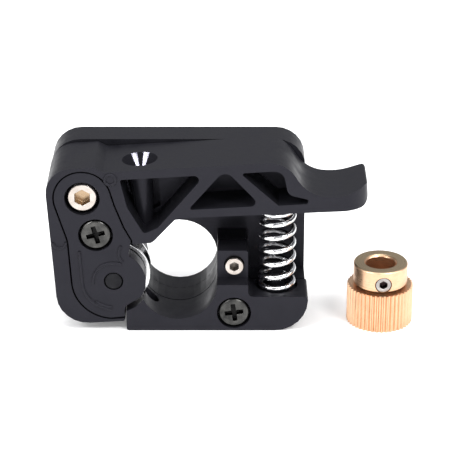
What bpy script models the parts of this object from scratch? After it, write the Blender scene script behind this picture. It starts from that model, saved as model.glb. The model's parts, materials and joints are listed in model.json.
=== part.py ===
"""Spring-lever extruder drive block for a 42 mm stepper, with its loose brass drive gear.

Run with: blender --background --python part.py

Lengths are in metres. X runs to the right, Y from the front face to the motor, Z up.
The origin is on the base, below the motor axis and halfway through the rear half of the block.
Pieces of the block hang from an empty on the motor axis, and pieces of the lever from an empty on
its pivot. The lever is drawn square, and its empty turns it to the angle it rests at.
"""
import math

import bmesh
import bpy
from mathutils import Matrix, Vector

MM = 0.001

# Depths along Y, from the front face back to the motor.
FRONT_Y = -12.0 * MM
COVER_BACK_Y = -9.3 * MM
PAD_Y = -9.4 * MM
FILAMENT_Y = -7.1 * MM
PARTING_Y = -5.0 * MM
TUBE_ROOM_Y = -3.4 * MM
LEVER_BACK_Y = -0.75 * MM
PLATE_FRONT_Y = -0.5 * MM
MOTOR_FACE_Y = 5.0 * MM

# Clearance between pieces that touch, half of the parting line, and how far a cutter overshoots.
GAP = 0.25 * MM
PARTING_GAP = 0.12 * MM
PIN_GAP = 0.15 * MM
CUT = 1.0 * MM
MERGE = 0.000001

# The plate over the motor's face: 42.6 mm wide, holes on a 31 mm square, room for a 22 mm boss.
PLATE_HALF = 21.3 * MM
HOLE_OFFSET = 15.5 * MM
BOSS_RADIUS = 11.1 * MM
BOSS_DEPTH = 1.2 * MM
PLATE_CORNER = 5.0 * MM

# The block, measured from the motor axis, which is AXIS_Z above the base.
AXIS_Z = 8.7 * MM
CAVITY_RADIUS = 6.5 * MM
BLOCK_LEFT = -8.7 * MM
BLOCK_RIGHT = 21.65 * MM
BLOCK_CORNER = 5.6 * MM
NOSE_CLEARANCE = 5.9 * MM
PILLAR_RIGHT = 11.65 * MM
PILLAR_TOP = 4.9 * MM
PAD_FLOOR = -0.2 * MM
SHELF_Z = -2.4 * MM
OUTLET_X = -4.7 * MM
OUTLET_RADIUS = 1.3 * MM
BLOCK_SCREW_AT = (9.3 * MM, -5.4 * MM)
PAD_SCREW_AT = (9.35 * MM, 2.3 * MM)
PAD_SCREW_STANDS = 0.8 * MM
PAD_SCREW_END = -1.5 * MM

# The lever, measured from its pivot while it is square to the motor.
REST_TILT = math.radians(3.4)
LEVER_LEFT = -5.85 * MM
LEVER_TOP = 4.5 * MM
LEVER_UNDERSIDE = -4.8 * MM
LEVER_BOTTOM = -22.75 * MM
HANDLE_TIP = 46.75 * MM
FRONT_CORNER = 4.5 * MM
BACK_CORNER = 0.8 * MM
PIN_AT = (3.9 * MM, -15.26 * MM)
PIN_RADIUS = 1.45 * MM
PIN_END = -2.9 * MM
NOSE_RADIUS = 5.4 * MM
CHAMBER_RADIUS = 6.4 * MM
COVER_NOSE_RADIUS = 5.35 * MM
COVER_FOOT_RADIUS = 6.85 * MM
COVER_CROWN_RADIUS = 4.6 * MM
FILAMENT_X = 9.6 * MM
FILAMENT_BORE = 1.0 * MM
TUBE_BOTTOM, TUBE_BOTTOM_RADIUS = -8.0 * MM, 1.3 * MM
TUBE_TOP, TUBE_TOP_RADIUS = 3.7 * MM, 2.1 * MM
FUNNEL_RADIUS = 2.95 * MM
FUNNEL_DEPTH = 2.2 * MM
POCKET_PAD_RADIUS = 1.45 * MM
POCKET_PAD_STANDS = 0.35 * MM
POCKET_PADS = ((14.9, 0.9), (23.4, 0.6), (32.1, 1.4))

# Screws: the M3 pivot screw with a cylinder head, its bush, and the cross-head screws.
SCREW_RADIUS = 1.5 * MM
SCREW_HOLE = 1.7 * MM
HEAD_RADIUS = 2.55 * MM
HEAD_HEIGHT = 3.0 * MM
HEAD_SINK = 0.4 * MM
HEAD_ROOM = 2.9 * MM
BUSH_RADIUS = 2.2 * MM
BUSH_BORE_GAP = 0.2 * MM
CROSS_HEAD_RADIUS = 2.62 * MM
CROSS_HEAD_SEAT = 2.87 * MM
CROSS_HEAD_HEIGHT = 1.6 * MM
CROSS_SINK = 0.1 * MM
CROSS_DEPTH = 1.1 * MM
CROSS_LENGTH = 3.1 * MM
CROSS_WIDTH = 0.76 * MM
BLOCK_CROSS_TURN = math.radians(8.0)
COVER_CROSS_TURN = math.radians(12.0)
PIVOT_KEY, PIVOT_KEY_DEPTH = 2.5 * MM, 1.5 * MM
PAD_KEY, PAD_KEY_DEPTH = 1.5 * MM, 1.6 * MM
GRUB_KEY, GRUB_KEY_DEPTH = 1.3 * MM, 1.2 * MM
COVER_SCREW_AT = (1.64 * MM, -6.67 * MM)
COVER_SCREW_RADIUS = 1.2 * MM
COVER_INSERT_END = -4.4 * MM
INSERT_RADIUS = 2.05 * MM
INSERT_SEAT = 2.25 * MM
INSERT_FRONT_Y = -3.0 * MM

# Idler bearing: 3 mm bore, 12 mm over its flanges, 4 mm wide, with a V groove.
BEARING_RADIUS = 6.0 * MM
GROOVE_RADIUS = 5.0 * MM
BEARING_HALF = 1.95 * MM
BALL_RADIUS = 0.7 * MM
BALL_CIRCLE = 3.35 * MM
RACE_OFFSET = 0.8 * MM
SHIELD_OFFSET = 0.62 * MM
BALLS = 7
RIM = 0.5 * MM
SHIELD_INSET, SHIELD_THICKNESS = 0.15 * MM, 0.25 * MM

# The spring between its round seat in the block's shelf and the lever, and the pegs in its ends.
SPRING_X = 16.5 * MM
SPRING_RADIUS = 3.2 * MM
WIRE_RADIUS = 0.47 * MM
SPRING_TURNS = 6.75
SPRING_START = math.radians(90.0)
CLOSED_TURNS = 0.75
SPRING_TOP = 12.3 * MM
SEAT_RADIUS = 3.55 * MM
SEAT_Z = SHELF_Z - 0.8 * MM
PEG_RADIUS = 1.5 * MM
PEG_HEIGHT = 2.4 * MM
LEVER_PEG_X = 31.75 * MM

# The drive gear, standing on its end beside the block.
GEAR_AT = (33.94 * MM, -7.4 * MM)
GEAR_TURN = math.radians(3.1)
GEAR_TEETH = 43
GEAR_RADIUS = 5.54 * MM
GEAR_ROOT = 5.22 * MM
GEAR_KNURL = 6.65 * MM
GEAR_HEIGHT = 10.65 * MM
HUB_RADIUS = 4.55 * MM
NECK_RADIUS = 3.8 * MM
NECK_HEIGHT = 0.55 * MM
GEAR_BORE = 2.5 * MM
GEAR_FLARE = 0.35 * MM
HUB_CHAMFER = 0.2 * MM
GRUB_Z = 8.35 * MM
GRUB_RADIUS = 1.25 * MM
GRUB_SINK = 0.2 * MM
GRUB_GAP = 0.15 * MM

TURN_STEPS = 32


# ---- scene and materials -------------------------------------------------------------------

def empty_scene():
    """Remove what is in the scene, and return collections for the parts and their cutters."""
    for item in list(bpy.data.objects):
        bpy.data.objects.remove(item, do_unlink=True)
    made = []
    for name in ("extruder_gear_assembly", "cutters"):
        collection = bpy.data.collections.new(name)
        bpy.context.scene.collection.children.link(collection)
        made.append(collection)
    return made


PARTS, CUTTERS = empty_scene()


def make_material(name, colour, roughness, metallic=0.0):
    material = bpy.data.materials.new(name)
    material.use_nodes = True
    shader = material.node_tree.nodes["Principled BSDF"]
    shader.inputs["Base Color"].default_value = (*colour, 1.0)
    shader.inputs["Roughness"].default_value = roughness
    shader.inputs["Metallic"].default_value = metallic
    material.diffuse_color = (*colour, 1.0)
    return material


def make_part(item, colour, roughness, metallic=0.0):
    """Give a finished piece its own material."""
    item.data.materials.clear()
    item.data.materials.append(make_material(item.name, colour, roughness, metallic))
    return item


def black_plastic(item):
    return make_part(item, (0.022, 0.022, 0.024), 0.42)


def bright_steel(item):
    return make_part(item, (0.72, 0.72, 0.74), 0.25, 1.0)


def black_steel(item):
    return make_part(item, (0.03, 0.03, 0.032), 0.38, 1.0)


def brass(item):
    return make_part(item, (0.83, 0.60, 0.30), 0.28, 1.0)


# ---- placing ---------------------------------------------------------------------------------

def make_empty(name, location, rotation=(0.0, 0.0, 0.0), parent=None):
    item = bpy.data.objects.new(name, None)
    item.location = location
    item.rotation_euler = rotation
    item.parent = parent
    PARTS.objects.link(item)
    return item


MOTOR_AXIS = make_empty("motor_axis", (0.0, 0.0, AXIS_Z))
LEVER_AXIS = make_empty("lever_axis", (-HOLE_OFFSET, 0.0, AXIS_Z + HOLE_OFFSET),
                        (0.0, -REST_TILT, 0.0))
IDLER_AXIS = make_empty("idler_axis", (PIN_AT[0], FILAMENT_Y, PIN_AT[1]), parent=LEVER_AXIS)
GEAR_AXIS = make_empty("gear_axis", (*GEAR_AT, 0.0), (0.0, 0.0, GEAR_TURN))


def move_to(item, collection):
    for held in list(item.users_collection):
        held.objects.unlink(item)
    collection.objects.link(item)


def cut(item, *cutters):
    """Cut a piece with solids that hang from the same empty, and hide them."""
    return combine(item, "DIFFERENCE", cutters)


def join(item, *solids):
    """Join solids onto a piece. They hang from the same empty."""
    return combine(item, "UNION", solids)


def combine(item, operation, solids):
    for solid in solids:
        step = item.modifiers.new(solid.name, "BOOLEAN")
        step.operation = operation
        step.object = solid
        solid.parent = item.parent
        move_to(solid, CUTTERS)
        solid.hide_render = True
        solid.display_type = "WIRE"
    return item


def hang(item, parent):
    item.parent = parent
    return item


# ---- shapes ----------------------------------------------------------------------------------

def arc(centre, radius, start, end, steps=12):
    """Points on an arc between two angles in degrees."""
    points = []
    for step in range(steps + 1):
        angle = math.radians(start + (end - start) * step / steps)
        points.append((centre[0] + radius * math.cos(angle), centre[1] + radius * math.sin(angle)))
    return points


def rounded(corners, steps=6):
    """An outline from corners (x, z), or (x, z, radius) where a corner is rounded."""
    points = []
    for index, corner in enumerate(corners):
        here = Vector(corner[:2])
        if len(corner) == 2:
            points.append(tuple(here))
            continue
        to_last = (Vector(corners[index - 1][:2]) - here).normalized()
        to_next = (Vector(corners[(index + 1) % len(corners)][:2]) - here).normalized()
        half = to_last.angle(to_next) / 2.0
        radius = corner[2]
        centre = here + (to_last + to_next).normalized() * (radius / math.sin(half))
        first = (here + to_last * (radius / math.tan(half)) - centre).normalized()
        last = (here + to_next * (radius / math.tan(half)) - centre).normalized()
        for step in range(steps + 1):
            points.append(tuple(centre + first.slerp(last, step / steps) * radius))
    return points


def in_mm(corners):
    return [tuple(value * MM for value in corner) for corner in corners]


def sheet(name, outline, thickness):
    """A 2D curve around an outline, filled and made solid."""
    curve = bpy.data.curves.new(name, "CURVE")
    curve.dimensions = "2D"
    curve.fill_mode = "BOTH"
    curve.extrude = thickness / 2.0
    spline = curve.splines.new("POLY")
    spline.points.add(len(outline) - 1)
    for point, (x, y) in zip(spline.points, outline):
        point.co = (x, y, 0.0, 1.0)
    spline.use_cyclic_u = True
    drawn = bpy.data.objects.new(name, curve)
    PARTS.objects.link(drawn)
    return drawn


def curve_to_mesh(drawn):
    """Turn a curve object into a closed mesh object in the same place."""
    name = drawn.name
    bpy.context.view_layer.update()
    graph = bpy.context.evaluated_depsgraph_get()
    mesh = bpy.data.meshes.new_from_object(drawn.evaluated_get(graph))
    work = bmesh.new()
    work.from_mesh(mesh)
    bmesh.ops.remove_doubles(work, verts=work.verts, dist=MERGE)
    bmesh.ops.recalc_face_normals(work, faces=work.faces)
    work.to_mesh(mesh)
    work.free()
    placed = drawn.matrix_world.copy()
    bpy.data.objects.remove(drawn)
    item = bpy.data.objects.new(name, mesh)
    item.matrix_world = placed
    PARTS.objects.link(item)
    return item


def prism(name, outline, front, back):
    """A solid with an outline in X and Z, from depth front to depth back."""
    drawn = sheet(name, outline, back - front)
    drawn.location = (0.0, (front + back) / 2.0, 0.0)
    drawn.rotation_euler = (math.pi / 2.0, 0.0, 0.0)
    return curve_to_mesh(drawn)


def slab(name, outline, bottom, top):
    """A solid with an outline in X and Y, from height bottom to height top."""
    drawn = sheet(name, outline, top - bottom)
    drawn.location = (0.0, 0.0, (bottom + top) / 2.0)
    return curve_to_mesh(drawn)


def box(name, x_range, y_range, z_range):
    bpy.ops.mesh.primitive_cube_add(size=1.0)
    item = bpy.context.object
    item.name = name
    item.location = [sum(pair) / 2.0 for pair in (x_range, y_range, z_range)]
    item.scale = [pair[1] - pair[0] for pair in (x_range, y_range, z_range)]
    move_to(item, PARTS)
    return item


def rod(name, at, radius, front, back, sides=TURN_STEPS):
    """A round bar along Y at (x, z)."""
    bpy.ops.mesh.primitive_cylinder_add(vertices=sides, radius=radius, depth=back - front)
    item = bpy.context.object
    item.name = name
    item.rotation_euler = (math.pi / 2.0, 0.0, 0.0)
    item.location = (at[0], (front + back) / 2.0, at[1])
    move_to(item, PARTS)
    return item


def post(name, at, bottom_radius, top_radius, bottom, top):
    """A round bar along Z at (x, y), straight or tapered."""
    bpy.ops.mesh.primitive_cone_add(vertices=TURN_STEPS, radius1=bottom_radius,
                                    radius2=top_radius, depth=top - bottom)
    item = bpy.context.object
    item.name = name
    item.location = (at[0], at[1], (bottom + top) / 2.0)
    move_to(item, PARTS)
    return item


def turned(name, profile, closed):
    """A turned piece around Z. Its (radius, height) profile runs top to bottom outside."""
    mesh = bpy.data.meshes.new(name)
    edges = [(index, index + 1) for index in range(len(profile) - 1)]
    if closed:
        edges.append((len(profile) - 1, 0))
    mesh.from_pydata([(radius, 0.0, height) for radius, height in profile], edges, [])
    item = bpy.data.objects.new(name, mesh)
    PARTS.objects.link(item)
    spin = item.modifiers.new("spin", "SCREW")
    spin.steps = TURN_STEPS
    spin.render_steps = TURN_STEPS
    spin.use_merge_vertices = True
    spin.merge_threshold = MERGE
    return item


def turned_along_y(name, at, profile, closed=False):
    """A turned piece around Y at (x, z). Its (radius, depth) profile runs front to back outside."""
    item = turned(name, [(radius, -depth) for radius, depth in profile], closed)
    item.rotation_euler = (math.pi / 2.0, 0.0, 0.0)
    item.location = (at[0], 0.0, at[1])
    return item


def ring(name, at, inner, outer, front, back):
    profile = [(inner, front), (outer, front), (outer, back), (inner, back)]
    return turned_along_y(name, at, profile, closed=True)


def screw(name, at, head_radius, head_front, head_back, shank_radius, shank_end):
    """A headed screw along Y, with a small chamfer on its head."""
    chamfer = 0.12 * head_radius
    profile = [(0.0, head_front), (head_radius - chamfer, head_front),
               (head_radius, head_front + chamfer), (head_radius, head_back),
               (shank_radius, head_back), (shank_radius, shank_end), (0.0, shank_end)]
    return turned_along_y(name, at, profile)


def hex_socket(at, across_flats, front, back):
    return rod("hex_socket", at, across_flats / math.sqrt(3.0), front, back, sides=6)


def cross_recess(at, turn, front, back):
    """The cross in a screw head: a plus-shaped outline, turned about the screw."""
    arm, waist = CROSS_LENGTH / 2.0, CROSS_WIDTH / 2.0
    outline = []
    for quarter in range(4):
        spin = Matrix.Rotation(math.radians(90.0 * quarter) + turn, 2)
        for corner in ((waist, waist), (waist, arm), (-waist, arm)):
            x, z = spin @ Vector(corner)
            outline.append((at[0] + x, at[1] + z))
    return prism("cross_recess", outline, front, back)


# ---- outlines shared by several pieces -------------------------------------------------------

def pin_at_rest():
    """The bearing pin seen from the motor axis, with the lever at rest."""
    x, z = Matrix.Rotation(REST_TILT, 2) @ Vector(PIN_AT)
    return (x - HOLE_OFFSET, z + HOLE_OFFSET)


def block_top():
    """The block's upper edge from its left side to its shelf, seen from the motor axis."""
    hollow = arc(pin_at_rest(), NOSE_CLEARANCE, -70.0, -34.0)
    cavity = arc((0.0, 0.0), CAVITY_RADIUS, 206.0, 360.0, 24)
    pillar = rounded([cavity[-1], (CAVITY_RADIUS, PILLAR_TOP, 0.3 * MM),
                      (PILLAR_RIGHT, PILLAR_TOP, 0.5 * MM), (PILLAR_RIGHT, SHELF_Z, 0.9 * MM),
                      (BLOCK_RIGHT, SHELF_Z)])
    return [(BLOCK_LEFT, hollow[0][1])] + hollow + cavity[:-1] + pillar[:-1]


def cover_left(gap):
    """The cover's edge from its foot up its left side and round the pivot, grown by gap."""
    foot = arc(PIN_AT, COVER_FOOT_RADIUS + gap, 262.0, 180.0)
    left = foot[-1][0]
    crown = arc((0.0, 0.0), COVER_CROWN_RADIUS + gap, 196.0, 10.0, 24)
    waist = rounded([foot[-1], (left, -7.5 * MM, 6.0 * MM), crown[0]])
    return foot[:-1] + waist[:-1] + crown


def cover_outline():
    nose = arc(PIN_AT, COVER_NOSE_RADIUS, 57.0, -36.0, 16)
    flank = in_mm([(4.98, -1.36), (6.26, -5.6), (7.35, -8.0), (6.85, -10.3)])
    heel = in_mm([(6.25, -19.55), (5.5, -20.1), (5.3, -20.9), (5.3, -21.9)])
    return cover_left(0.0) + flank + nose + heel


def cover_recess_outline():
    """The cover's outline grown by the gap, and open where the bearing looks out of the lever."""
    flank = in_mm([(5.23, -1.3), (6.51, -5.5), (7.6, -7.95), (7.6, -9.5), (14.0, -9.5),
                   (14.0, -22.15)])
    return cover_left(GAP) + flank


def lever_outline():
    tip = HANDLE_TIP
    crest = in_mm([(2.5, 5.4, 0.8), (3.95, 4.5, 0.8), (33.5, 4.5, 5.0), (37.0, -1.9, 6.0),
                   (42.5, -2.2, 10.0)])
    handle = [(tip, -1.1 * MM, 0.5 * MM), (tip, LEVER_UNDERSIDE, 1.2 * MM)]
    throat = in_mm([(15.1, -4.4, 0.8), (10.8, -8.6, 1.5), (7.0, -8.6)])
    nose = arc(PIN_AT, NOSE_RADIUS, 55.0, -36.0, 16)
    heel = in_mm([(6.25, -19.55), (5.5, -20.1), (5.3, -20.9)])
    foot = [(5.3 * MM, LEVER_BOTTOM, 0.5 * MM), (LEVER_LEFT, LEVER_BOTTOM, 5.2 * MM),
            (LEVER_LEFT, 5.4 * MM, 4.4 * MM)]
    return rounded(crest + handle + throat + nose + heel + foot)


# ---- block -----------------------------------------------------------------------------------

def spring_seat():
    """The round room below the shelf where the spring stands, half in each half of the block."""
    return post("spring_seat", (SPRING_X, FILAMENT_Y), SEAT_RADIUS, SEAT_RADIUS, SEAT_Z,
                SHELF_Z + CUT)


def make_rear_body():
    base = -AXIS_Z
    plate = rounded([(-PLATE_HALF, PLATE_HALF, PLATE_CORNER), (PLATE_HALF, PLATE_HALF, PLATE_CORNER),
                     (PLATE_HALF, base, BLOCK_CORNER), (-PLATE_HALF, base, PLATE_CORNER)])
    body = prism("rear_body", plate, PARTING_Y + PARTING_GAP, MOTOR_FACE_Y)
    far = 2.0 * PLATE_HALF
    around = block_top() + [(far, SHELF_Z), (far, far), (-far, far), (-far, -far),
                            (BLOCK_LEFT, -far)]
    holes = [rod("motor_hole", (side * HOLE_OFFSET, HOLE_OFFSET), SCREW_HOLE,
                 PLATE_FRONT_Y - CUT, MOTOR_FACE_Y + CUT) for side in (-1, 1)]
    cut(hang(body, MOTOR_AXIS),
        prism("around_block", around, PARTING_Y - CUT, PLATE_FRONT_Y),
        rod("cavity", (0.0, 0.0), CAVITY_RADIUS, PARTING_Y - CUT, MOTOR_FACE_Y + CUT),
        rod("motor_boss", (0.0, 0.0), BOSS_RADIUS, MOTOR_FACE_Y - BOSS_DEPTH, MOTOR_FACE_Y + CUT),
        rod("screw_hole", BLOCK_SCREW_AT, SCREW_HOLE, PARTING_Y - CUT, MOTOR_FACE_Y),
        rod("insert_seat", BLOCK_SCREW_AT, INSERT_SEAT, INSERT_FRONT_Y, MOTOR_FACE_Y + CUT),
        rod("pad_screw_hole", PAD_SCREW_AT, SCREW_HOLE, PARTING_Y - CUT, PAD_SCREW_END + GAP),
        spring_seat(), *holes)
    return black_plastic(body)


def make_front_plate():
    base = -AXIS_Z
    outline = rounded(block_top() + [(BLOCK_RIGHT, SHELF_Z, 0.5 * MM),
                                     (BLOCK_RIGHT, base, BLOCK_CORNER),
                                     (BLOCK_LEFT, base, 0.5 * MM)])
    plate = prism("front_plate", outline, FRONT_Y, PARTING_Y - PARTING_GAP)
    peg = post("spring_peg", (SPRING_X, FILAMENT_Y), PEG_RADIUS, 0.8 * PEG_RADIUS,
               SEAT_Z - CUT, SHELF_Z + PEG_HEIGHT)
    cut(hang(plate, MOTOR_AXIS), spring_seat())
    join(plate, peg)
    cut(plate,
        box("pad_recess", (CAVITY_RADIUS - CUT, PILLAR_RIGHT + CUT), (FRONT_Y - CUT, PAD_Y),
            (PAD_FLOOR, PILLAR_TOP + CUT)),
        rod("bearing_room", pin_at_rest(), CHAMBER_RADIUS, COVER_BACK_Y, PARTING_Y + CUT),
        post("outlet", (OUTLET_X, FILAMENT_Y), OUTLET_RADIUS, OUTLET_RADIUS, base - CUT, 0.0),
        rod("head_seat", BLOCK_SCREW_AT, CROSS_HEAD_SEAT, FRONT_Y - CUT,
            FRONT_Y + CROSS_HEAD_HEIGHT + GAP),
        rod("screw_hole", BLOCK_SCREW_AT, SCREW_HOLE, FRONT_Y, PARTING_Y + CUT),
        rod("pad_screw_hole", PAD_SCREW_AT, SCREW_HOLE, FRONT_Y, PARTING_Y + CUT))
    return black_plastic(plate)


def make_block_fasteners():
    head_back = FRONT_Y + CROSS_HEAD_HEIGHT
    block_screw = screw("block_screw", BLOCK_SCREW_AT, CROSS_HEAD_RADIUS, FRONT_Y + CROSS_SINK,
                        head_back, SCREW_RADIUS, MOTOR_FACE_Y - BOSS_DEPTH - 2.0 * GAP)
    cut(hang(block_screw, MOTOR_AXIS),
        cross_recess(BLOCK_SCREW_AT, BLOCK_CROSS_TURN, FRONT_Y - CUT, FRONT_Y + CROSS_DEPTH))
    black_steel(block_screw)
    insert = ring("block_insert", BLOCK_SCREW_AT, SCREW_HOLE, INSERT_RADIUS,
                  INSERT_FRONT_Y + GAP, MOTOR_FACE_Y - BOSS_DEPTH - GAP)
    brass(hang(insert, MOTOR_AXIS))
    pad_screw = rod("pad_screw", PAD_SCREW_AT, SCREW_RADIUS, PAD_Y - PAD_SCREW_STANDS, PAD_SCREW_END)
    cut(hang(pad_screw, MOTOR_AXIS),
        hex_socket(PAD_SCREW_AT, PAD_KEY, FRONT_Y, PAD_Y - PAD_SCREW_STANDS + PAD_KEY_DEPTH))
    bright_steel(pad_screw)


def make_pivot():
    pivot = (-HOLE_OFFSET, HOLE_OFFSET)
    head_front = FRONT_Y + HEAD_SINK
    head_back = head_front + HEAD_HEIGHT
    pivot_screw = screw("pivot_screw", pivot, HEAD_RADIUS, head_front, head_back,
                        SCREW_RADIUS, MOTOR_FACE_Y - CUT)
    cut(hang(pivot_screw, MOTOR_AXIS),
        hex_socket(pivot, PIVOT_KEY, FRONT_Y - CUT, head_front + PIVOT_KEY_DEPTH))
    bright_steel(pivot_screw)
    bush = ring("pivot_bush", pivot, SCREW_HOLE, BUSH_RADIUS, head_back + GAP,
                PLATE_FRONT_Y - GAP)
    bright_steel(hang(bush, MOTOR_AXIS))


def spring_height(turn):
    """How high the wire's middle is at a turn: closed ends, and an even pitch between."""
    pitch = 2.2 * WIRE_RADIUS
    closed = pitch * CLOSED_TURNS
    bottom = SEAT_Z + GAP + WIRE_RADIUS
    top = SPRING_TOP - WIRE_RADIUS
    if turn < CLOSED_TURNS:
        return bottom + pitch * turn
    if turn > SPRING_TURNS - CLOSED_TURNS:
        return top - pitch * (SPRING_TURNS - turn)
    share = (turn - CLOSED_TURNS) / (SPRING_TURNS - 2.0 * CLOSED_TURNS)
    return bottom + closed + share * (top - bottom - 2.0 * closed)


def make_spring():
    curve = bpy.data.curves.new("spring", "CURVE")
    curve.dimensions = "3D"
    curve.bevel_depth = WIRE_RADIUS
    curve.bevel_resolution = 2
    curve.use_fill_caps = True
    spline = curve.splines.new("POLY")
    steps = round(SPRING_TURNS * 24)
    spline.points.add(steps)
    for index, point in enumerate(spline.points):
        turn = SPRING_TURNS * index / steps
        angle = 2.0 * math.pi * turn + SPRING_START
        radius = SPRING_RADIUS - WIRE_RADIUS
        point.co = (radius * math.cos(angle), radius * math.sin(angle), spring_height(turn), 1.0)
    drawn = bpy.data.objects.new("spring", curve)
    drawn.location = (SPRING_X, FILAMENT_Y, 0.0)
    PARTS.objects.link(drawn)
    bright_steel(hang(curve_to_mesh(drawn), MOTOR_AXIS))


# ---- lever -----------------------------------------------------------------------------------

def make_lever_pockets():
    """The three pockets in the lever's truss, the deeper room behind the filament tube."""
    filament_pocket = in_mm([(6.4, 3.0, 0.3), (20.3, 3.0, 0.8), (12.0, -5.9, 0.8),
                             (9.6, -6.9, 0.6), (7.2, -2.0, 3.0)])
    tube_room = in_mm([(6.7, 2.7), (12.3, 2.7), (12.3, -5.0), (9.6, -6.4), (7.5, -2.0)])
    middle_pocket = in_mm([(17.1, -3.0, 0.3), (29.1, -3.0, 0.8), (23.6, 3.8, 1.5)])
    handle_pocket = in_mm([(26.0, 3.0, 0.3), (33.0, 3.0, 1.8), (33.6, -1.3, 1.5),
                           (37.1, -2.4, 0.4), (36.6, -3.1, 0.3), (31.9, -3.1, 0.3)])
    pockets = [prism("pocket", rounded(corners), FRONT_Y - CUT, PARTING_Y)
               for corners in (filament_pocket, middle_pocket, handle_pocket)]
    room = prism("tube_room", rounded(tube_room), FRONT_Y, TUBE_ROOM_Y)
    return pockets + [room]


def corner_cutter(name, x, y, radius, side):
    """What a vertical corner at (x, y) loses when it is rounded; side is -1 in front, 1 behind."""
    centre = (x - radius, y - side * radius)
    curve = arc(centre, radius, 90.0 * side, 0.0)
    outline = curve + [(x + CUT, centre[1]), (x + CUT, y + side * CUT), (centre[0], y + side * CUT)]
    return slab(name, outline, LEVER_UNDERSIDE - CUT, LEVER_TOP)


def make_lever_arm():
    arm = prism("lever_arm", lever_outline(), FRONT_Y, LEVER_BACK_Y)
    cut(hang(arm, LEVER_AXIS),
        corner_cutter("front_corner", HANDLE_TIP, FRONT_Y, FRONT_CORNER, -1),
        corner_cutter("back_corner", HANDLE_TIP, LEVER_BACK_Y, BACK_CORNER, 1),
        prism("cover_recess", cover_recess_outline(), FRONT_Y - CUT, COVER_BACK_Y + GAP),
        rod("bearing_room", PIN_AT, CHAMBER_RADIUS, COVER_BACK_Y, PARTING_Y + PARTING_GAP),
        rod("pivot_bore", (0.0, 0.0), BUSH_RADIUS + BUSH_BORE_GAP, FRONT_Y, MOTOR_FACE_Y),
        rod("head_room", (0.0, 0.0), HEAD_ROOM, FRONT_Y, FRONT_Y + HEAD_SINK + HEAD_HEIGHT + GAP),
        rod("insert_seat", COVER_SCREW_AT, INSERT_SEAT, FRONT_Y, COVER_INSERT_END + GAP),
        rod("pin_seat", PIN_AT, PIN_RADIUS + PIN_GAP, PARTING_Y, PIN_END + PIN_GAP),
        *make_lever_pockets())
    join(arm,
         post("filament_tube", (FILAMENT_X, FILAMENT_Y), TUBE_BOTTOM_RADIUS, TUBE_TOP_RADIUS,
              TUBE_BOTTOM, TUBE_TOP),
         post("spring_peg", (LEVER_PEG_X, FILAMENT_Y), 0.8 * PEG_RADIUS, PEG_RADIUS,
              LEVER_UNDERSIDE - PEG_HEIGHT, LEVER_UNDERSIDE + CUT),
         *[rod("pocket_pad", at, POCKET_PAD_RADIUS, PARTING_Y - POCKET_PAD_STANDS, PARTING_Y + CUT)
           for at in in_mm(POCKET_PADS)])
    flare = (FUNNEL_RADIUS - FILAMENT_BORE) / FUNNEL_DEPTH
    cut(arm,
        post("filament_bore", (FILAMENT_X, FILAMENT_Y), FILAMENT_BORE, FILAMENT_BORE,
             TUBE_BOTTOM - 2.0 * CUT, LEVER_TOP),
        post("funnel", (FILAMENT_X, FILAMENT_Y), FILAMENT_BORE, FUNNEL_RADIUS + CUT * flare,
             LEVER_TOP - FUNNEL_DEPTH, LEVER_TOP + CUT))
    black_plastic(arm)


def make_bearing_cover():
    cover = prism("bearing_cover", cover_outline(), FRONT_Y, COVER_BACK_Y)
    cut(hang(cover, LEVER_AXIS),
        rod("head_room", (0.0, 0.0), HEAD_ROOM, FRONT_Y - CUT, COVER_BACK_Y + CUT),
        rod("head_seat", COVER_SCREW_AT, CROSS_HEAD_SEAT, FRONT_Y - CUT,
            FRONT_Y + CROSS_HEAD_HEIGHT + GAP),
        rod("screw_hole", COVER_SCREW_AT, COVER_SCREW_RADIUS + GAP, FRONT_Y, COVER_BACK_Y + CUT),
        rod("pin_hole", PIN_AT, PIN_RADIUS + PIN_GAP, FRONT_Y - CUT, COVER_BACK_Y + CUT))
    black_plastic(cover)


def make_cover_fasteners():
    cover_screw = screw("cover_screw", COVER_SCREW_AT, CROSS_HEAD_RADIUS, FRONT_Y + CROSS_SINK,
                        FRONT_Y + CROSS_HEAD_HEIGHT, COVER_SCREW_RADIUS, COVER_INSERT_END)
    cut(hang(cover_screw, LEVER_AXIS),
        cross_recess(COVER_SCREW_AT, COVER_CROSS_TURN, FRONT_Y - CUT, FRONT_Y + CROSS_DEPTH))
    black_steel(cover_screw)
    insert = ring("cover_insert", COVER_SCREW_AT, COVER_SCREW_RADIUS + GAP, INSERT_RADIUS,
                  COVER_BACK_Y + 2.0 * GAP, COVER_INSERT_END)
    brass(hang(insert, LEVER_AXIS))
    black_steel(hang(rod("bearing_pin", PIN_AT, PIN_RADIUS, FRONT_Y, PIN_END), LEVER_AXIS))


# ---- idler bearing ---------------------------------------------------------------------------

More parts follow.
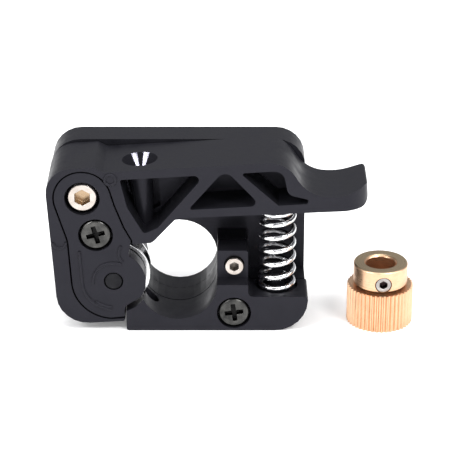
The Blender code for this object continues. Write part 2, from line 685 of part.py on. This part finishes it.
def make_bearing():
    """The V-groove bearing. Depths are from the middle of its width."""
    middle = (0.0, 0.0)
    half = BEARING_HALF
    inner = ring("bearing_inner", middle, PIN_RADIUS + PIN_GAP, BALL_CIRCLE - RACE_OFFSET,
                 -half, half)
    bright_steel(hang(inner, IDLER_AXIS))
    race = BALL_CIRCLE + RACE_OFFSET
    profile = [(race, -half), (BEARING_RADIUS, -half), (BEARING_RADIUS, RIM - half),
               (GROOVE_RADIUS, 0.0), (BEARING_RADIUS, half - RIM), (BEARING_RADIUS, half),
               (race, half)]
    outer = turned_along_y("bearing_outer", middle, profile, closed=True)
    bright_steel(hang(outer, IDLER_AXIS))
    for name, side in (("shield_front", -1), ("shield_rear", 1)):
        face = half - SHIELD_INSET
        depths = sorted((side * face, side * (face - SHIELD_THICKNESS)))
        shield = ring(name, middle, BALL_CIRCLE - SHIELD_OFFSET, BALL_CIRCLE + SHIELD_OFFSET, *depths)
        black_steel(hang(shield, IDLER_AXIS))
    for number in range(BALLS):
        angle = 2.0 * math.pi * number / BALLS
        bpy.ops.mesh.primitive_uv_sphere_add(segments=16, ring_count=8, radius=BALL_RADIUS)
        ball = bpy.context.object
        ball.name = f"ball_{number + 1}"
        ball.location = (BALL_CIRCLE * math.cos(angle), 0.0, BALL_CIRCLE * math.sin(angle))
        move_to(ball, PARTS)
        bright_steel(hang(ball, IDLER_AXIS))


# ---- drive gear ------------------------------------------------------------------------------

def tooth_outline():
    """The toothed rim seen from above: a flat root, two flanks and a narrow tip to each tooth."""
    outline = []
    pitch = 2.0 * math.pi / GEAR_TEETH
    for tooth in range(GEAR_TEETH):
        for share, radius in ((-0.34, GEAR_ROOT), (-0.1, GEAR_RADIUS), (0.1, GEAR_RADIUS),
                              (0.34, GEAR_ROOT)):
            angle = pitch * (tooth + share)
            outline.append((radius * math.cos(angle), radius * math.sin(angle)))
    return outline


def make_gear():
    gear = slab("drive_gear", tooth_outline(), 0.0, GEAR_KNURL)
    neck_top = GEAR_KNURL + NECK_HEIGHT
    profile = [(0.0, GEAR_HEIGHT), (HUB_RADIUS - HUB_CHAMFER, GEAR_HEIGHT),
               (HUB_RADIUS, GEAR_HEIGHT - HUB_CHAMFER), (HUB_RADIUS, neck_top),
               (NECK_RADIUS, neck_top - HUB_CHAMFER), (NECK_RADIUS, GEAR_KNURL - CUT),
               (0.0, GEAR_KNURL - CUT)]
    join(hang(gear, GEAR_AXIS), turned("hub", profile, closed=False))
    cut(gear,
        post("bore", (0.0, 0.0), GEAR_BORE, GEAR_BORE, -CUT, GEAR_HEIGHT + CUT),
        post("bore_mouth", (0.0, 0.0), GEAR_BORE - CUT, GEAR_BORE + GEAR_FLARE + CUT,
             GEAR_HEIGHT - GEAR_FLARE - CUT, GEAR_HEIGHT + CUT),
        rod("grub_hole", (0.0, GRUB_Z), GRUB_RADIUS + GRUB_GAP, -2.0 * HUB_RADIUS, 0.0))
    brass(gear)
    grub_front = GRUB_SINK - HUB_RADIUS
    grub = rod("gear_set_screw", (0.0, GRUB_Z), GRUB_RADIUS, grub_front, -GEAR_BORE - GAP)
    cut(hang(grub, GEAR_AXIS),
        hex_socket((0.0, GRUB_Z), GRUB_KEY, -2.0 * HUB_RADIUS, grub_front + GRUB_KEY_DEPTH))
    bright_steel(grub)


make_rear_body()
make_front_plate()
make_block_fasteners()
make_pivot()
make_spring()
make_lever_arm()
make_bearing_cover()
make_cover_fasteners()
make_bearing()
make_gear()
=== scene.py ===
"""Looks of the extruder drive block and its loose drive gear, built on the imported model's frame.

Lengths are in metres. X runs right, Y from the front face to the motor, Z up. Details of the lever
are given from its pivot while it is square to the motor, and LEVER puts them where it rests.
"""
import json
import math

import bpy
from mathutils import Matrix, Vector


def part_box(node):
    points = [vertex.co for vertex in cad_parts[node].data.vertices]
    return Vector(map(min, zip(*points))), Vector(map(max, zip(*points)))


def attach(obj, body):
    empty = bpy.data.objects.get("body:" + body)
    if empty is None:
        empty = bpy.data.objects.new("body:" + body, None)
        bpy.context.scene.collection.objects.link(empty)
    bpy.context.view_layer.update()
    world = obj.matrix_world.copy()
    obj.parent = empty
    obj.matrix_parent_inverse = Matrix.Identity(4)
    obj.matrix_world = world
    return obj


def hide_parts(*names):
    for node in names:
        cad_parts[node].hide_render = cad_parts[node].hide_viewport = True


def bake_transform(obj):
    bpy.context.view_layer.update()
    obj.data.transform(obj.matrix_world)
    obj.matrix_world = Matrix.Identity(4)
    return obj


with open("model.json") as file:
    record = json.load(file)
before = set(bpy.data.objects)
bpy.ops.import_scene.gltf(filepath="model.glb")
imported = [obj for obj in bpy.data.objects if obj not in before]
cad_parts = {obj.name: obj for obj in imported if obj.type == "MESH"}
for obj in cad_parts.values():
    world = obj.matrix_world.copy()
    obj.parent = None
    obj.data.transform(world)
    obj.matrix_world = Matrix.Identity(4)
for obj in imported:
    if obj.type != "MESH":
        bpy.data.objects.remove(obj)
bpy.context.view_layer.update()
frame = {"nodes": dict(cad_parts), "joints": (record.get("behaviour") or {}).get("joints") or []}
NODES = frame["nodes"]
JOINTS = {joint["name"]: joint for joint in frame["joints"]}

MM = 0.001

# Places that come from the frame.
PIVOT = Vector(JOINTS["lever_pivot"]["pos_m"])
IDLER = Vector(JOINTS["idler_spin"]["pos_m"])
GEAR = Vector(JOINTS["gear_spin"]["pos_m"])
BLOCK_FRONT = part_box("front_plate")[0].y

# The lever's rest angle, the matrix from its square drawing to where it rests, and the bearing
# pin's x and z on that drawing.
REST_TILT = math.radians(3.4)
LEVER = Matrix.Translation((PIVOT.x, 0.0, PIVOT.z)) @ Matrix.Rotation(-REST_TILT, 4, "Y")
PIN_AT = (3.9 * MM, -15.26 * MM)

# The filament funnel in the lever's top. Two streaks of its rear wall are polished, between two
# slopes, each the distance to the side over the distance to the rear.
FUNNEL_TOP = LEVER @ Vector((9.6 * MM, -7.1 * MM, 4.5 * MM))
FUNNEL_AXIS = LEVER.to_3x3() @ Vector((0.0, 0.0, 1.0))
FUNNEL_RADIUS = 2.9 * MM
FUNNEL_DEPTH = 2.4 * MM
SIDEWAYS = LEVER.to_3x3() @ Vector((1.0, 0.0, 0.0))
STREAK_SLOPES = (0.19, 0.62)

# How strongly the plastic, the funnel's dull wall and its polished streaks reflect, and the share
# of the plastic's roughness that the streaks keep.
PLASTIC_SPECULAR, FUNNEL_SPECULAR, STREAK_SPECULAR = 0.21, 0.04, 1.0
PLASTIC_IOR, STREAK_IOR = 1.5, 3.0
STREAK_ROUGHNESS = 0.6

# The groove between the gear's teeth and its hub, where shade is painted: the height of its middle
# and half its width, how far out the painted shade reaches, and how much of the brass it hides.
NECK_MIDDLE = 6.92 * MM
NECK_HALF = 0.34 * MM
NECK_REACH = 4.0 * MM
NECK_DARKNESS = 0.85

# How far behind a screw's face the painted shade in its recess starts.
RECESS_START = 0.1 * MM

# Camera, light and floor. The lens and the sensor are in millimetres, as Blender takes them.
CAMERA_AT = (8.471 * MM, -313.427 * MM, 160.068 * MM)
CAMERA_PITCH = math.radians(64.891)
CAMERA_LENS = 159.5
CAMERA_SENSOR = 36.0
CAMERA_NEAR = 0.01
LIGHT_TARGET = Vector((0.008, -0.004, 0.014))
SKY_COLOUR = (0.96, 0.97, 1.0)
SKY_STRENGTH = 0.42
FLOOR_SIZE = 4.0
FLOOR_GLOW = 0.16

# Widths of rounded edges. Faces flat within one angle are merged first, and then edges that turn by
# more than the other are rounded.
MOULDED_EDGE = 0.22 * MM
TURNED_EDGE = 0.08 * MM
PIN_EDGE = 0.2 * MM
WELD = 0.001 * MM
FLAT_WITHIN = math.radians(1.0)
SHARP_OVER = math.radians(32.0)

# Most of a noise texture lies between these values.
NOISE_LOW, NOISE_HIGH = 0.3, 0.7

# Sockets of a Mix node that mixes colours. Their names are used more than once in it.
FIRST_COLOUR, SECOND_COLOUR = 6, 7
MIXED_COLOUR = 2

Y_AXIS = (0.0, 1.0, 0.0)
Z_AXIS = (0.0, 0.0, 1.0)


# ---- materials -------------------------------------------------------------------------------

def new_material(name, colour, roughness, metallic=0.0, specular=0.5):
    material = bpy.data.materials.new(name)
    material.use_nodes = True
    shader = material.node_tree.nodes["Principled BSDF"]
    shader.inputs["Base Color"].default_value = (*colour, 1.0)
    shader.inputs["Roughness"].default_value = roughness
    shader.inputs["Metallic"].default_value = metallic
    shader.inputs["Specular IOR Level"].default_value = specular
    return material, shader


def add_node(material, kind, settings=None, inputs=None):
    """A new node, with its settings and with inputs given as values or as sockets to link from."""
    node = material.node_tree.nodes.new(kind)
    for name, value in (settings or {}).items():
        setattr(node, name, value)
    for name, value in (inputs or {}).items():
        if isinstance(value, bpy.types.NodeSocket):
            material.node_tree.links.new(value, node.inputs[name])
        else:
            node.inputs[name].default_value = value
    return node


def object_place(material):
    return add_node(material, "ShaderNodeTexCoord").outputs["Object"]


def noise(material, place, size, detail=2.0):
    """Noise whose blotches are about size across."""
    node = add_node(material, "ShaderNodeTexNoise",
                    inputs={"Vector": place, "Scale": 1.0 / size, "Detail": detail})
    return node.outputs["Fac"]


def spread(material, value, low, high):
    """Noise, spread from low to high."""
    node = add_node(material, "ShaderNodeMapRange",
                    inputs={"Value": value, "From Min": NOISE_LOW, "From Max": NOISE_HIGH,
                            "To Min": low, "To Max": high})
    return node.outputs["Result"]


def vary_colour(material, shader, value, dark, light):
    node = add_node(material, "ShaderNodeMix", {"data_type": "RGBA"}, {"Factor": value})
    node.inputs[FIRST_COLOUR].default_value = (*dark, 1.0)
    node.inputs[SECOND_COLOUR].default_value = (*light, 1.0)
    material.node_tree.links.new(node.outputs[MIXED_COLOUR], shader.inputs["Base Color"])


def set_roughness(material, shader, value):
    material.node_tree.links.new(value, shader.inputs["Roughness"])


def bump(material, shader, height, strength, depth):
    node = add_node(material, "ShaderNodeBump",
                    inputs={"Height": height, "Strength": strength, "Distance": depth})
    material.node_tree.links.new(node.outputs["Normal"], shader.inputs["Normal"])


def math_node(material, operation, *values):
    """The result of one step of arithmetic, on numbers or on sockets to link from."""
    return add_node(material, "ShaderNodeMath", {"operation": operation},
                    dict(enumerate(values))).outputs["Value"]


def vector_node(material, operation, *vectors):
    """One step of vector arithmetic, whose result is a number for a length or a dot product."""
    node = add_node(material, "ShaderNodeVectorMath", {"operation": operation},
                    dict(enumerate(vectors)))
    return node.outputs["Value" if operation in ("LENGTH", "DOT_PRODUCT") else "Vector"]


def offset_from(material, point):
    """Where the shaded point lies from another point."""
    return vector_node(material, "SUBTRACT", object_place(material), tuple(point))


def coordinate(material, vector, axis):
    return add_node(material, "ShaderNodeSeparateXYZ", inputs={"Vector": vector}).outputs[axis]


def reach_within(material, offset, plane):
    """The length of an offset within a plane, given as 1 for each axis that counts."""
    return vector_node(material, "LENGTH", vector_node(material, "MULTIPLY", offset, plane))


def paint_over(material, share, colour):
    """Mix a colour over the material's own, by a share from 0 to 1."""
    shader = material.node_tree.nodes["Principled BSDF"]
    own = shader.inputs["Base Color"].links[0].from_socket
    node = add_node(material, "ShaderNodeMix", {"data_type": "RGBA"}, {"Factor": share})
    material.node_tree.links.new(own, node.inputs[FIRST_COLOUR])
    node.inputs[SECOND_COLOUR].default_value = (*colour, 1.0)
    material.node_tree.links.new(node.outputs[MIXED_COLOUR], shader.inputs["Base Color"])


def inside_funnel(material):
    """1 on the filament funnel's wall, and 0 elsewhere."""
    offset = offset_from(material, FUNNEL_TOP)
    height = vector_node(material, "DOT_PRODUCT", offset, tuple(FUNNEL_AXIS))
    across = vector_node(material, "CROSS_PRODUCT", offset, tuple(FUNNEL_AXIS))
    radius = vector_node(material, "LENGTH", across)
    return math_node(material, "MULTIPLY", math_node(material, "LESS_THAN", radius, FUNNEL_RADIUS),
                     math_node(material, "GREATER_THAN", height, -FUNNEL_DEPTH))


def between_slopes(material):
    """1 where the funnel's rear wall would be polished, and 0 elsewhere."""
    offset = offset_from(material, FUNNEL_TOP)
    side = vector_node(material, "DOT_PRODUCT", offset, tuple(SIDEWAYS))
    slope = math_node(material, "DIVIDE", math_node(material, "ABSOLUTE", side),
                      coordinate(material, offset, "Y"))
    inner, outer = STREAK_SLOPES
    return math_node(material, "MULTIPLY", math_node(material, "GREATER_THAN", slope, inner),
                     math_node(material, "LESS_THAN", slope, outer))


def polish_funnel(material, shader, roughness, texture):
    """Dull the funnel's wall and polish its streaks, and give back the new roughness and texture."""
    funnel = inside_funnel(material)
    streaks = math_node(material, "MULTIPLY", funnel, between_slopes(material))
    dulled = math_node(material, "MULTIPLY_ADD", funnel, FUNNEL_SPECULAR - PLASTIC_SPECULAR,
                       PLASTIC_SPECULAR)
    gloss = math_node(material, "MULTIPLY_ADD", streaks, STREAK_SPECULAR - FUNNEL_SPECULAR, dulled)
    bend = math_node(material, "MULTIPLY_ADD", streaks, STREAK_IOR - PLASTIC_IOR, PLASTIC_IOR)
    material.node_tree.links.new(gloss, shader.inputs["Specular IOR Level"])
    material.node_tree.links.new(bend, shader.inputs["IOR"])
    smoother = math_node(material, "MULTIPLY", streaks, 1.0 - STREAK_ROUGHNESS)
    kept = math_node(material, "SUBTRACT", 1.0, smoother)
    outside = math_node(material, "SUBTRACT", 1.0, funnel)
    return (math_node(material, "MULTIPLY", roughness, kept),
            math_node(material, "MULTIPLY", texture, outside))


def moulded_plastic(name, polished=False):
    """Black moulded plastic: fine grain, and patches where the mould has worn glossier."""
    dark, light = (0.0072, 0.0072, 0.0092), (0.010, 0.010, 0.0125)
    smooth, rough = 0.28, 0.50
    patch, grain = 3.2 * MM, 0.16 * MM
    grain_strength, grain_depth = 0.34, 0.03 * MM
    tint = (0.86, 0.84, 1.0)
    material, shader = new_material(name, dark, smooth, specular=PLASTIC_SPECULAR)
    shader.inputs["Specular Tint"].default_value = (*tint, 1.0)
    place = object_place(material)
    patches = noise(material, place, patch, 3.0)
    vary_colour(material, shader, spread(material, patches, 0.0, 1.0), dark, light)
    roughness = spread(material, patches, smooth, rough)
    texture = noise(material, place, grain, 3.0)
    if polished:
        roughness, texture = polish_funnel(material, shader, roughness, texture)
    set_roughness(material, shader, roughness)
    bump(material, shader, texture, grain_strength, grain_depth)
    return material


def turned_marks(material, centre, axis, pitch):
    """Noise that runs in rings round an axis and along it, like the marks of a lathe tool."""
    offset = offset_from(material, centre)
    along = vector_node(material, "PROJECT", offset, axis)
    outward = vector_node(material, "SUBTRACT", offset, along)
    travel = math_node(material, "ADD", vector_node(material, "LENGTH", along),
                       vector_node(material, "LENGTH", outward))
    marks = add_node(material, "ShaderNodeTexNoise", {"noise_dimensions": "1D"},
                     {"W": travel, "Scale": 1.0 / pitch, "Detail": 2.0})
    return marks.outputs["Fac"]


def sunken(material, centre, radius, start):
    """1 in a screw's recess, which is beyond start along Y and within radius of the screw's axis."""
    offset = offset_from(material, (centre.x, start, centre.z))
    reach = reach_within(material, offset, (1.0, 0.0, 1.0))
    deep = coordinate(material, offset, "Y")
    return math_node(material, "MULTIPLY", math_node(material, "LESS_THAN", reach, radius),
                     math_node(material, "GREATER_THAN", deep, 0.0))


def shade_recess(name, material, radius, colour, share):
    """Painted shade in a screw's recess."""
    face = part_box(name)[0].y
    mask = sunken(material, centre_of(name), radius, face + RECESS_START)
    paint_over(material, math_node(material, "MULTIPLY", mask, share), colour)


def turned_metal(name, colours, roughness, centre, axis, pitch=0.12 * MM, strength=0.25):
    """Metal with lathe marks about an axis, and a colour and gloss that wander a little."""
    stain_size, mark_depth = 1.4 * MM, 0.02 * MM
    material, shader = new_material(name, colours[0], roughness[0], metallic=1.0)
    stain = noise(material, object_place(material), stain_size)
    vary_colour(material, shader, spread(material, stain, 0.0, 1.0), *colours)
    marks = turned_marks(material, centre, axis, pitch)
    set_roughness(material, shader, spread(material, marks, *roughness))
    bump(material, shader, marks, strength, mark_depth)
    return material


def wire_metal(name, colours, roughness):
    """Polished or plated steel, with faint marks."""
    mark_size, mark_strength, mark_depth = 0.18 * MM, 0.1, 0.01 * MM
    material, shader = new_material(name, colours[0], roughness[0], metallic=1.0)
    marks = noise(material, object_place(material), mark_size, 3.0)
    vary_colour(material, shader, spread(material, marks, 0.0, 1.0), *colours)
    set_roughness(material, shader, spread(material, marks, *roughness))
    bump(material, shader, marks, mark_strength, mark_depth)
    return material


def shade_far_side(material, near, far, colour):
    """Darken a material towards its far side, from near to far along Y."""
    deep = coordinate(material, object_place(material), "Y")
    share = add_node(material, "ShaderNodeMapRange",
                     inputs={"Value": deep, "From Min": near, "From Max": far}).outputs["Result"]
    paint_over(material, share, colour)


def give(item, material):
    item.data.materials.clear()
    item.data.materials.append(material)


# ---- CAD nodes -------------------------------------------------------------------------------

def soften(name, width, segments=3):
    """Weld a CAD node, merge its flat faces and round its edges."""
    item = NODES[name]
    weld = item.modifiers.new("weld", "WELD")
    weld.merge_threshold = WELD
    flat = item.modifiers.new("flat", "DECIMATE")
    flat.decimate_type = "DISSOLVE"
    flat.angle_limit = FLAT_WITHIN
    edges = item.modifiers.new("edges", "BEVEL")
    edges.width = width
    edges.segments = segments
    edges.limit_method = "ANGLE"
    edges.angle_limit = SHARP_OVER
    smooth = item.modifiers.new("smooth", "WEIGHTED_NORMAL")
    smooth.keep_sharp = False
    item.data.shade_smooth()
    return item


def centre_of(name):
    low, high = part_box(name)
    return (low + high) / 2.0


def finish_plastic():
    moulded = moulded_plastic("moulded_plastic")
    for name in ("rear_body", "front_plate", "bearing_cover"):
        give(soften(name, MOULDED_EDGE), moulded)
    give(soften("lever_arm", MOULDED_EDGE), moulded_plastic("lever_plastic", polished=True))
    return moulded


def finish_zinc_screws():
    zinc, roughness = ((0.56, 0.51, 0.47), (0.42, 0.37, 0.33)), (0.18, 0.36)
    cross_radius = {"pivot_screw": 1.4 * MM, "pad_screw": 0.84 * MM}
    # Painted shade in the cross recesses, warm brown on the pivot screw.
    cross_shade = {"pivot_screw": (0.36, 0.24, 0.13), "pad_screw": (0.2, 0.18, 0.16)}
    cross_share = 0.85
    for name in ("pivot_screw", "pad_screw", "pivot_bush"):
        metal = turned_metal(name + "_zinc", zinc, roughness, centre_of(name), Y_AXIS)
        if name in cross_radius:
            shade_recess(name, metal, cross_radius[name], cross_shade[name], cross_share)
        give(soften(name, TURNED_EDGE), metal)


def finish_black_screws():
    black, roughness = ((0.028, 0.028, 0.028), (0.085, 0.084, 0.08)), (0.16, 0.36)
    # Painted shade in the sockets.
    socket_radius, socket_shade, socket_shade_share = 1.75 * MM, (0.006, 0.006, 0.006), 0.9
    for name in ("block_screw", "cover_screw"):
        metal = turned_metal(name + "_black", black, roughness, centre_of(name), Y_AXIS, strength=0.5)
        shade_recess(name, metal, socket_radius, socket_shade, socket_shade_share)
        give(soften(name, TURNED_EDGE), metal)


def finish_pin():
    oxide, roughness = ((0.015, 0.015, 0.0165), (0.022, 0.022, 0.024)), (0.34, 0.5)
    metal = turned_metal("pin_oxide", oxide, roughness, IDLER, Y_AXIS)
    give(soften("bearing_pin", PIN_EDGE), metal)


def finish_inserts():
    brass, roughness = ((0.80, 0.56, 0.27), (0.62, 0.40, 0.17)), (0.25, 0.4)
    for name in ("block_insert", "cover_insert"):
        metal = turned_metal(name + "_brass", brass, roughness, centre_of(name), Y_AXIS)
        give(soften(name, TURNED_EDGE), metal)


def finish_rings():
    ground, roughness = ((0.86, 0.86, 0.87), (0.74, 0.74, 0.75)), (0.1, 0.22)
    metal = turned_metal("bearing_steel", ground, roughness, IDLER, Y_AXIS, 0.07 * MM, strength=0.12)
    for name in ("bearing_outer", "bearing_inner"):
        give(soften(name, TURNED_EDGE), metal)


def finish_shields():
    dark, roughness = ((0.10, 0.10, 0.105), (0.14, 0.14, 0.145)), (0.3, 0.45)
    metal = turned_metal("shield_steel", dark, roughness, IDLER, Y_AXIS)
    for name in ("shield_front", "shield_rear"):
        give(soften(name, TURNED_EDGE), metal)


def finish_balls():
    steel, roughness = ((0.86, 0.86, 0.87), (0.8, 0.8, 0.81)), (0.05, 0.1)
    metal = wire_metal("ball_steel", steel, roughness)
    for name in NODES:
        if name.startswith("ball_"):
            NODES[name].data.shade_smooth()
            give(NODES[name], metal)


def shade_neck(material):
    """Painted shade in the groove between the gear's teeth and its hub."""
    painted_shade = (0.10, 0.045, 0.015)
    offset = offset_from(material, (GEAR.x, GEAR.y, NECK_MIDDLE))
    height = math_node(material, "ABSOLUTE", coordinate(material, offset, "Z"))
    reach = reach_within(material, offset, (1.0, 1.0, 0.0))
    level = math_node(material, "LESS_THAN", height, NECK_HALF)
    inner = math_node(material, "LESS_THAN", reach, NECK_REACH)
    mask = math_node(material, "MULTIPLY", level, inner)
    share = math_node(material, "MULTIPLY", mask, NECK_DARKNESS)
    paint_over(material, share, painted_shade)


def shade_top_face(material):
    """Painted shade on the gear's top face: a duller, greener brass."""
    shaded_brass = (0.47, 0.365, 0.235)
    height = coordinate(material, object_place(material), "Z")
    mask = math_node(material, "GREATER_THAN", height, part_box("drive_gear")[1].z - TURNED_EDGE)
    paint_over(material, mask, shaded_brass)


def finish_gear():
    brass, roughness = ((0.79, 0.51, 0.325), (0.71, 0.45, 0.28)), (0.26, 0.42)
    metal = turned_metal("gear_brass", brass, roughness, GEAR, Z_AXIS, 0.1 * MM, strength=0.35)
    shade_neck(metal)
    shade_top_face(metal)
    give(soften("drive_gear", TURNED_EDGE, segments=2), metal)


def finish_set_screw():
    pale, roughness = ((0.44, 0.42, 0.40), (0.28, 0.26, 0.25)), (0.24, 0.4)
    # Painted shade in the hex socket.
    socket_radius, painted_shade, shade_share = 0.74 * MM, (0.05, 0.03, 0.03), 0.95
    metal = turned_metal("grub_zinc", pale, roughness, centre_of("gear_set_screw"), Y_AXIS)
    shade_recess("gear_set_screw", metal, socket_radius, painted_shade, shade_share)
    give(soften("gear_set_screw", TURNED_EDGE), metal)


# ---- the spring ------------------------------------------------------------------------------

SPRING_TURNS = 6.75
SPRING_START = math.radians(90.0)
CLOSED_TURNS = 0.75
WIRE_RADIUS = 0.47 * MM
CLOSED_PITCH = 2.2 * WIRE_RADIUS
CLOSED_HEIGHT = CLOSED_PITCH * CLOSED_TURNS
STEPS_PER_TURN = 40
# The coil darkens behind its axis, and is darkest this far behind it.
DARK_BEYOND = 2.0 * MM


def spring_height(turn, bottom, top):
    """How high the wire's middle is at a turn: closed ends, and an even pitch between."""
    if turn < CLOSED_TURNS:
        return bottom + CLOSED_PITCH * turn
    if turn > SPRING_TURNS - CLOSED_TURNS:
        return top - CLOSED_PITCH * (SPRING_TURNS - turn)
    share = (turn - CLOSED_TURNS) / (SPRING_TURNS - 2.0 * CLOSED_TURNS)
    return bottom + CLOSED_HEIGHT + share * (top - bottom - 2.0 * CLOSED_HEIGHT)


def wind_coil(low, high):
    """A coil of round wire that fills a box from low to high."""
    axis = (low + high) / 2.0
    radius = (high.x - low.x) / 2.0 - WIRE_RADIUS
    curve = bpy.data.curves.new("spring_coil", "CURVE")
    curve.dimensions = "3D"
    curve.bevel_depth = WIRE_RADIUS
    curve.bevel_resolution = 4
    curve.use_fill_caps = True
    spline = curve.splines.new("POLY")
    steps = round(SPRING_TURNS * STEPS_PER_TURN)
    spline.points.add(steps)
    for index, point in enumerate(spline.points):
        turn = SPRING_TURNS * index / steps
        angle = 2.0 * math.pi * turn + SPRING_START
        height = spring_height(turn, low.z + WIRE_RADIUS, high.z - WIRE_RADIUS)
        point.co = (axis.x + radius * math.cos(angle), axis.y + radius * math.sin(angle), height, 1.0)
    drawn = bpy.data.objects.new("spring_curve", curve)
    bpy.context.scene.collection.objects.link(drawn)
    bpy.context.view_layer.update()
    graph = bpy.context.evaluated_depsgraph_get()
    mesh = bpy.data.meshes.new_from_object(drawn.evaluated_get(graph))
    coil = bpy.data.objects.new("spring_coil", mesh)
    bpy.data.objects.remove(drawn)
    bpy.context.scene.collection.objects.link(coil)
    coil.data.shade_smooth()
    return coil


def make_spring():
    """A smoother coil in the CAD spring's place."""
    chrome, roughness = ((0.90, 0.90, 0.91), (0.80, 0.80, 0.82)), (0.08, 0.18)
    shade = (0.22, 0.22, 0.23)
    low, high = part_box("spring")
    axis = (low + high) / 2.0
    coil = wind_coil(low, high)
    plating = wire_metal("spring_plating", chrome, roughness)
    shade_far_side(plating, axis.y, axis.y + DARK_BEYOND, shade)
    give(coil, plating)
    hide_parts("spring")
    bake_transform(coil)


# ---- relief on the lever ---------------------------------------------------------------------

RELIEF = 0.26 * MM


def arc(centre, radius, start, end, steps=18):
    """Points (x, z) on an arc between two angles in degrees."""
    angles = [math.radians(start + (end - start) * step / steps) for step in range(steps + 1)]
    return [(centre[0] + radius * math.cos(a), centre[1] + radius * math.sin(a)) for a in angles]


def relief(name, points, material, closed=False):
    """A fine raised line on the lever's front, half sunk into it."""
    curve = bpy.data.curves.new(name, "CURVE")
    curve.dimensions = "3D"
    curve.bevel_depth = RELIEF
    curve.bevel_resolution = 3
    curve.use_fill_caps = True
    spline = curve.splines.new("POLY")
    spline.points.add(len(points) - 1)
    for point, (x, z) in zip(spline.points, points):
        point.co = (x, BLOCK_FRONT, z, 1.0)
    spline.use_cyclic_u = closed
    line = bpy.data.objects.new(name, curve)
    bpy.context.scene.collection.objects.link(line)
    line.matrix_world = LEVER
    give(line, material)
    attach(line, "idler_lever")


def make_relief(moulded):
    """The fine lines moulded on the cover, and two ejector marks beside it."""
    rib_x, rib_top, rib_gap = -1.3 * MM, -9.4 * MM, 0.4 * MM
    rib_radius = PIN_AT[0] - rib_x
    ring_radius = 3.4 * MM
    curve_at, curve_radius = (7.4 * MM, -10.3 * MM), 2.25 * MM
    mark_at, mark_radius = (4.86 * MM, 3.11 * MM), 0.9 * MM
    pad_at, pad_radius = (-4.4 * MM, -7.6 * MM), 1.05 * MM
    relief("cover_rib", [(rib_x, rib_top)] + arc(PIN_AT, rib_radius, 180.0, 262.0), moulded)
    relief("cover_rib_inner", arc(PIN_AT, rib_radius - rib_gap, 228.0, 262.0), moulded)
    relief("pin_ring", arc(PIN_AT, ring_radius, 64.0, 184.0), moulded)
    relief("cover_curve", arc(curve_at, curve_radius, 140.0, 222.0), moulded)
    relief("ejector_mark", arc(mark_at, mark_radius, 0.0, 345.0, 24), moulded,
           closed=True)
    relief("ejector_pad", arc(pad_at, pad_radius, 180.0, 360.0), moulded)


# ---- camera, light and floor -----------------------------------------------------------------

def make_camera():
    camera = bpy.data.objects.new("camera", bpy.data.cameras.new("camera"))
    bpy.context.scene.collection.objects.link(camera)
    camera.location = CAMERA_AT
    camera.rotation_euler = (CAMERA_PITCH, 0.0, 0.0)
    camera.data.lens = CAMERA_LENS
    camera.data.sensor_width = CAMERA_SENSOR
    camera.data.clip_start = CAMERA_NEAR
    bpy.context.scene.camera = camera


def softbox(name, place, size, power):
    """A square area light that looks at the middle of the block."""
    light = bpy.data.lights.new(name, "AREA")
    light.size = size
    light.energy = power
    item = bpy.data.objects.new(name, light)
    bpy.context.scene.collection.objects.link(item)
    item.location = place
    item.rotation_euler = (LIGHT_TARGET - Vector(place)).to_track_quat("-Z", "Y").to_euler()


def make_light():
    softbox("overhead", (0.0, 0.05, 0.60), 0.60, 3.3)
    softbox("left_box", (-0.42, -0.20, 0.24), 0.28, 0.9)
    softbox("right_box", (0.46, -0.12, 0.26), 0.22, 0.8)
    softbox("front_left_box", (-0.36, -0.30, 0.44), 0.16, 1.5)
    softbox("front_right_box", (0.26, -0.30, 0.44), 0.16, 1.5)
    softbox("front_low_box", (0.05, -0.55, 0.07), 0.30, 0.7)
    world = bpy.data.worlds.new("studio")
    bpy.context.scene.world = world
    world.use_nodes = True
    sky = world.node_tree.nodes["Background"]
    sky.inputs["Color"].default_value = (*SKY_COLOUR, 1.0)
    sky.inputs["Strength"].default_value = SKY_STRENGTH


def make_floor():
    white, smooth, rough, grain = (0.93, 0.93, 0.93), 0.65, 0.75, 2.0 * MM
    bpy.ops.mesh.primitive_plane_add(size=FLOOR_SIZE)
    floor = bpy.context.object
    floor.name = "floor"
    material, shader = new_material("floor_white", white, smooth, specular=0.2)
    shader.inputs["Emission Color"].default_value = (1.0, 1.0, 1.0, 1.0)
    shader.inputs["Emission Strength"].default_value = FLOOR_GLOW
    paper = noise(material, object_place(material), grain)
    set_roughness(material, shader, spread(material, paper, smooth, rough))
    give(floor, material)


make_camera()
make_light()
make_floor()
moulded_black = finish_plastic()
finish_zinc_screws()
finish_black_screws()
finish_pin()
finish_inserts()
finish_rings()
finish_shields()
finish_balls()
finish_gear()
finish_set_screw()
make_spring()
make_relief(moulded_black)
bpy.context.scene.view_settings.view_transform = "Standard"
